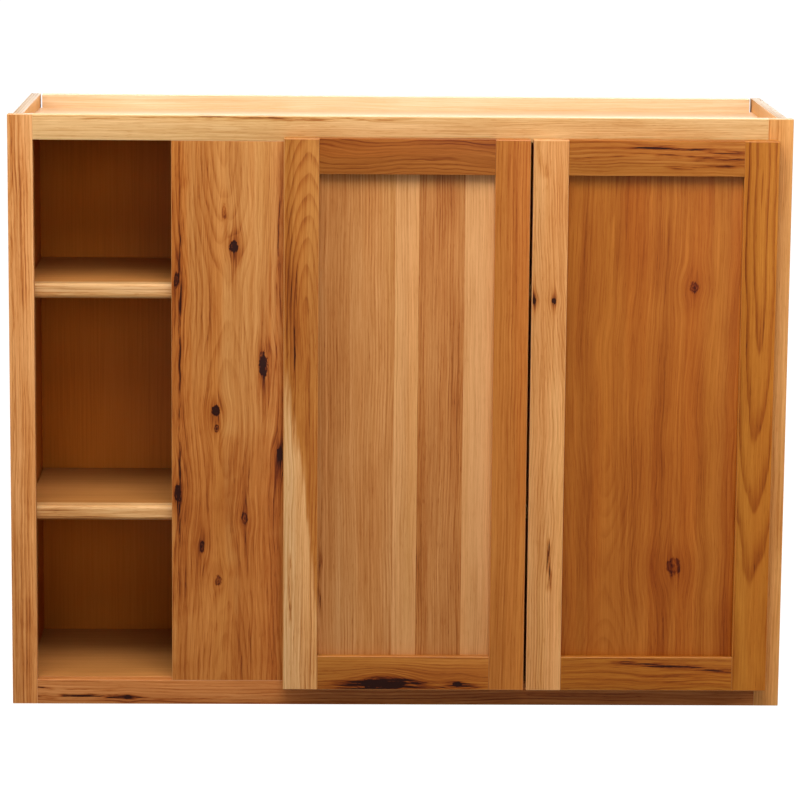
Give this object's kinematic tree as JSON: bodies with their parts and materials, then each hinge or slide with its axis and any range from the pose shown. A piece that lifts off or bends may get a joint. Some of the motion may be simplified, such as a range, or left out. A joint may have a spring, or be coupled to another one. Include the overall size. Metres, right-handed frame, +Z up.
{
  "type": "face-frame wall cabinet",
  "caption": "Knotty hickory face-frame wall cabinet with an open blind-corner bay of shelves, a wide blind stile and a pair of frame-and-panel doors on concealed hinges",
  "frame": {"origin": "centre of the back face of the upper hanging rail, on the wall", "axes": "+X to the right along the wall, +Y back into the wall, +Z up; the doors face -Y"},
  "size_m": [0.9906, 0.3264, 0.7619],
  "materials": {
    "hickory_tan": "satin clear-coated hickory, orange tan with brown streaks",
    "hickory_pale": "satin clear-coated hickory, pale sapwood",
    "hickory_brown": "satin clear-coated hickory, red-brown heartwood with knots",
    "maple_ply": "clear-coated maple-faced plywood",
    "maple_solid": "clear-coated solid maple",
    "beech": "raw fluted beech",
    "nickel": "nickel-plated steel",
    "zinc": "yellow zinc-plated steel",
    "clear_bumper": "clear soft polyurethane"
  },
  "bodies": {
    "cabinet": {"frame_left_stile": "hickory_tan", "frame_right_stile": "hickory_pale", "frame_top_rail": "hickory_pale", "frame_bottom_rail": "hickory_tan", "blind_stile": "hickory_brown", "frame_dowels": "beech", "left_side": "maple_ply", "right_side": "maple_ply", "top_panel": "maple_ply", "bottom_panel": "maple_ply", "back_panel": "maple_ply", "top_hanging_rail": "maple_solid", "bottom_hanging_rail": "maple_solid", "carcass_screws": "zinc", "hanging_rail_screws": "zinc", "upper_shelf_pins": "nickel", "lower_shelf_pins": "nickel", "left_upper_hinge_arm": "nickel", "left_upper_hinge_plate": "nickel", "left_lower_hinge_arm": "nickel", "left_lower_hinge_plate": "nickel", "right_upper_hinge_arm": "nickel", "right_upper_hinge_plate": "nickel", "right_lower_hinge_arm": "nickel", "right_lower_hinge_plate": "nickel", "hinge_plate_screws": "nickel", "hinge_arm_screws": "nickel"},
    "left_door": {"left_door_hinge_stile": "hickory_tan", "left_door_free_stile": "hickory_brown", "left_door_top_rail": "hickory_brown", "left_door_bottom_rail": "hickory_brown", "left_door_panel": "hickory_tan", "left_door_bumpers": "clear_bumper", "left_upper_hinge_cup": "nickel", "left_upper_hinge_pin": "nickel", "left_lower_hinge_cup": "nickel", "left_lower_hinge_pin": "nickel", "left_door_cup_screws": "nickel"},
    "right_door": {"right_door_hinge_stile": "hickory_brown", "right_door_free_stile": "hickory_pale", "right_door_top_rail": "hickory_brown", "right_door_bottom_rail": "hickory_brown", "right_door_panel": "hickory_brown", "right_door_bumpers": "clear_bumper", "right_upper_hinge_cup": "nickel", "right_upper_hinge_pin": "nickel", "right_lower_hinge_cup": "nickel", "right_lower_hinge_pin": "nickel", "right_door_cup_screws": "nickel"},
    "upper_shelf": {"upper_shelf": "maple_ply", "upper_shelf_nosing": "hickory_pale"},
    "lower_shelf": {"lower_shelf": "maple_ply", "lower_shelf_nosing": "hickory_pale"}
  },
  "joints": [
    {"name": "left_door_swing", "type": "hinge", "parent": "cabinet", "child": "left_door", "pos_m": [-0.14045, -0.3164, -0.33705], "axis": [0, 0, -1], "range_deg": [0, 105]},
    {"name": "right_door_swing", "type": "hinge", "parent": "cabinet", "child": "right_door", "pos_m": [0.46945, -0.3164, -0.33705], "axis": [0, 0, 1], "range_deg": [0, 105]},
    {"name": "upper_shelf_lift", "type": "slide", "parent": "cabinet", "child": "upper_shelf", "axis": [0, 0, 1], "range_m": [0, 0.02]},
    {"name": "lower_shelf_lift", "type": "slide", "parent": "cabinet", "child": "lower_shelf", "axis": [0, 0, 1], "range_m": [0, 0.02]}
  ]
}
